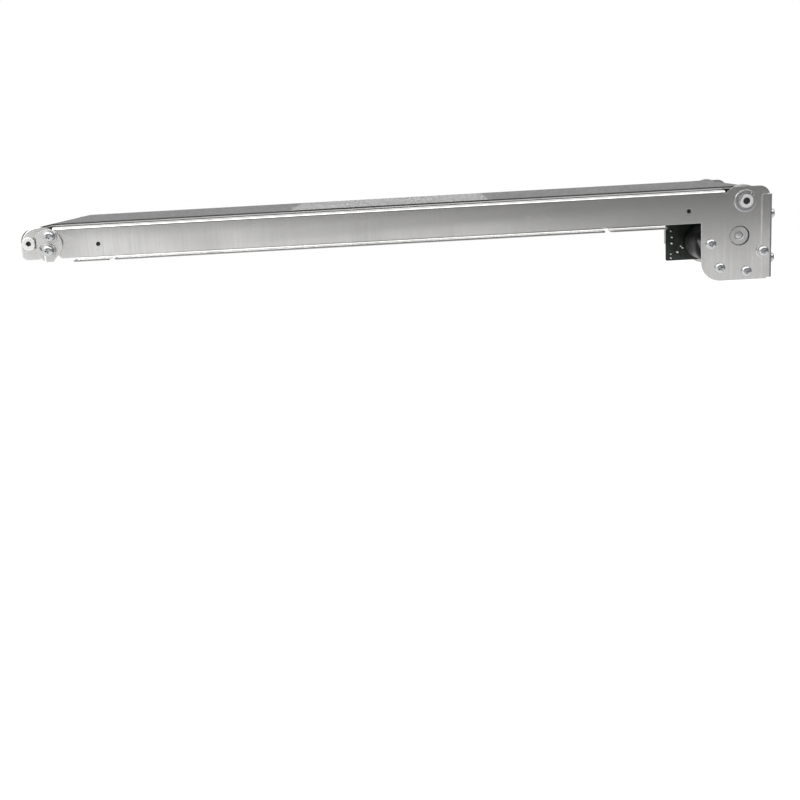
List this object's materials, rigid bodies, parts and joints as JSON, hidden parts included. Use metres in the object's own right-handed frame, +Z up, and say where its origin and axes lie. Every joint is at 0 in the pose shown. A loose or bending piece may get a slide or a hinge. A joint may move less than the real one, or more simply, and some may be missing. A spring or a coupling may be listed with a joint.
{
  "type": "motorised belt conveyor",
  "caption": "Motorised belt conveyor: folded sheet frame with mounting tabs, endless belt over two rollers, gear drive, gearmotor below and eccentric belt tensioners.",
  "frame": {"origin": "midway between the two roller axes and between the webs, on the underside plane of the mounting tabs", "axes": "+X from the idler end to the drive end, -Y the gear side, +Z up"},
  "size_m": [0.5804, 0.151, 0.0719],
  "materials": {
    "stainless": "brushed stainless sheet",
    "zinc": "bright zinc plated hardware",
    "bright_steel": "ground bright steel",
    "belt": "fine woven charcoal belt with a smooth splice",
    "white_plastic": "moulded white acetal",
    "black_plastic": "moulded black plastic",
    "cast_alloy": "die cast, as cast",
    "board_green": "dark green lacquered board"
  },
  "bodies": {
    "frame": {"board_capacitor": "black_plastic", "board_connector": "white_plastic", "conveyor_belt": "belt", "cover_screw_far": "zinc", "driver_board": "board_green", "end_cover": "stainless", "end_screw_far_1": "zinc", "end_screw_far_2": "zinc", "end_screw_near_1": "zinc", "end_screw_near_2": "zinc", "folded_frame": "stainless", "gearbox_housing": "cast_alloy", "gearbox_plate": "cast_alloy", "gearbox_screw_1": "zinc", "gearbox_screw_2": "zinc", "gearbox_screw_3": "zinc", "gearbox_screw_4": "zinc", "lock_screw_far": "zinc", "lock_screw_near": "zinc", "lock_spring_washer_far": "zinc", "lock_spring_washer_near": "zinc", "lock_washer_far": "zinc", "lock_washer_near": "zinc", "motor_can": "zinc", "motor_end_cap": "black_plastic", "output_boss": "cast_alloy", "pivot_screw_far": "zinc", "pivot_screw_near": "zinc", "pivot_spring_washer_far": "zinc", "pivot_spring_washer_near": "zinc", "pivot_washer_far": "zinc", "pivot_washer_near": "zinc", "shaft_bush_far": "zinc", "shaft_bush_near": "zinc"},
    "drive_roller": {"drive_shaft": "bright_steel", "drive_roller": "zinc", "roller_gear": "white_plastic", "belt_guide_rim": "white_plastic", "retaining_clip_near": "zinc", "retaining_clip_far": "zinc"},
    "output": {"output_shaft": "bright_steel", "output_gear": "white_plastic"},
    "idler_axle": {"idler_axle": "bright_steel"},
    "idler_roller": {"idler_roller": "bright_steel", "idler_cap_near": "zinc", "idler_cap_far": "zinc"},
    "near_disc": {"tension_disc_near": "stainless"},
    "far_disc": {"tension_disc_far": "stainless"}
  },
  "joints": [
    {"name": "drive_spin", "type": "hinge", "parent": "frame", "child": "drive_roller", "pos_m": [0.2735, 0, 0.01735], "axis": [0, 1, 0], "continuous": true},
    {"name": "output_spin", "type": "hinge", "parent": "frame", "child": "output", "pos_m": [0.26948, 0, -0.00859], "axis": [0, 1, 0], "continuous": true},
    {"name": "idler_slide", "type": "slide", "parent": "frame", "child": "idler_axle", "axis": [1, 0, 0], "range_m": [0, 0.001]},
    {"name": "idler_spin", "type": "hinge", "parent": "idler_axle", "child": "idler_roller", "pos_m": [-0.2735, 0, 0.0148], "axis": [0, 1, 0], "continuous": true},
    {"name": "near_disc_turn", "type": "hinge", "parent": "frame", "child": "near_disc", "pos_m": [-0.2567, -0.0645, 0.0197], "axis": [0, -1, 0], "range_deg": [0, 18]},
    {"name": "far_disc_turn", "type": "hinge", "parent": "frame", "child": "far_disc", "pos_m": [-0.2567, 0.0645, 0.0197], "axis": [0, -1, 0], "range_deg": [0, 18]}
  ],
  "couplings": [
    {"joint": "output_spin", "follows": "drive_spin", "ratio": -0.68},
    {"joint": "idler_spin", "follows": "drive_spin", "ratio": 1.0588},
    {"joint": "near_disc_turn", "follows": "idler_slide", "rad_per_m": 314},
    {"joint": "far_disc_turn", "follows": "idler_slide", "rad_per_m": 314}
  ]
}
